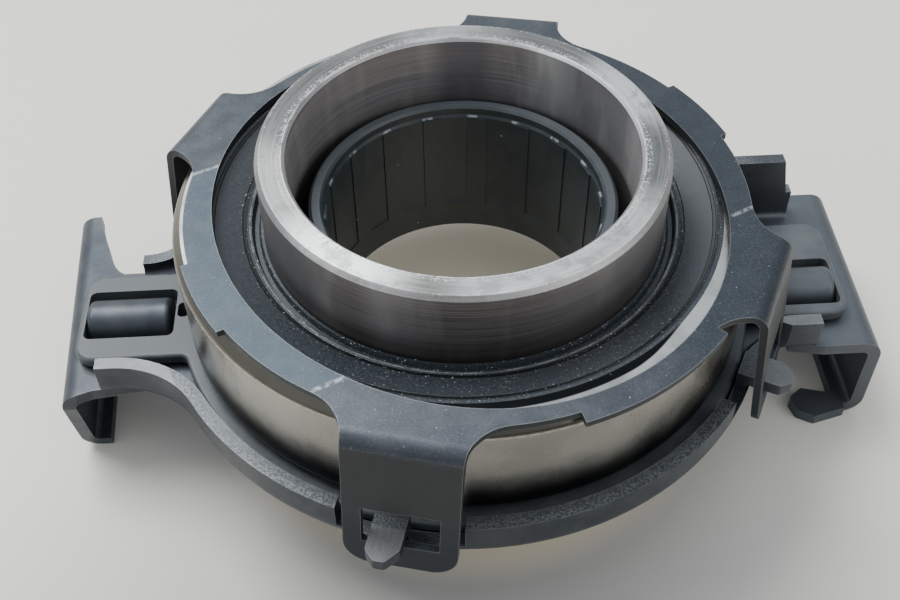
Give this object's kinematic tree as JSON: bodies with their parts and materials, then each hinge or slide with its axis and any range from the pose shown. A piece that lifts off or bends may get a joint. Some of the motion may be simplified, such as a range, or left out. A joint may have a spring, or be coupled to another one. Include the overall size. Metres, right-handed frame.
{
  "type": "clutch release bearing",
  "caption": "Clutch release bearing: sealed ball bearing with a tall rotating nose, clipped by a spring cover into a sheet-metal carrier with two fork ears, on a ribbed plastic guide sleeve.",
  "frame": {"origin": "on the guide bore's axis, at the lower end of its straight wall", "axes": "+Z along the guide bore towards the nose that meets the diaphragm spring; X through the two fork ears; -Y is the side seen in front"},
  "size_m": [0.1088, 0.0858, 0.0405],
  "materials": {
    "carrier_steel": "dark phosphated sheet steel, satin",
    "sleeve_plastic": "black moulded nylon",
    "cover_steel": "blued spring steel, lightly oiled",
    "ring_steel": "ground bearing steel",
    "nose_steel": "turned and ground bearing steel, worn on the face",
    "ball_steel": "polished bearing steel",
    "cage_plastic": "moulded nylon",
    "seal_rubber": "black nitrile rubber",
    "insert_steel": "pressed sheet steel"
  },
  "bodies": {
    "carrier": {"carrier_plate": "carrier_steel", "guide_sleeve": "sleeve_plastic", "retaining_cover": "cover_steel"},
    "bearing": {"outer_ring": "ring_steel", "front_seal": "seal_rubber", "seal_insert": "insert_steel", "rear_shield": "insert_steel"},
    "nose": {"inner_ring": "nose_steel"},
    "ball_set": {"ball_cage": "cage_plastic", "ball_01": "ball_steel", "ball_02": "ball_steel", "ball_03": "ball_steel", "ball_04": "ball_steel", "ball_05": "ball_steel", "ball_06": "ball_steel", "ball_07": "ball_steel", "ball_08": "ball_steel", "ball_09": "ball_steel", "ball_10": "ball_steel", "ball_11": "ball_steel", "ball_12": "ball_steel", "ball_13": "ball_steel", "ball_14": "ball_steel", "ball_15": "ball_steel", "ball_16": "ball_steel"}
  },
  "joints": [
    {"name": "bearing_float", "type": "slide", "parent": "carrier", "child": "bearing", "axis": [1, 0, 0], "range_m": [-0.0012, 0.0012]},
    {"name": "nose_spin", "type": "hinge", "parent": "bearing", "child": "nose", "pos_m": [0, 0, 0.0126], "axis": [0, 0, 1], "continuous": true},
    {"name": "ball_set_spin", "type": "hinge", "parent": "bearing", "child": "ball_set", "pos_m": [0, 0, 0.0126], "axis": [0, 0, 1], "continuous": true}
  ],
  "couplings": [
    {"joint": "ball_set_spin", "follows": "nose_spin", "ratio": 0.4483}
  ]
}
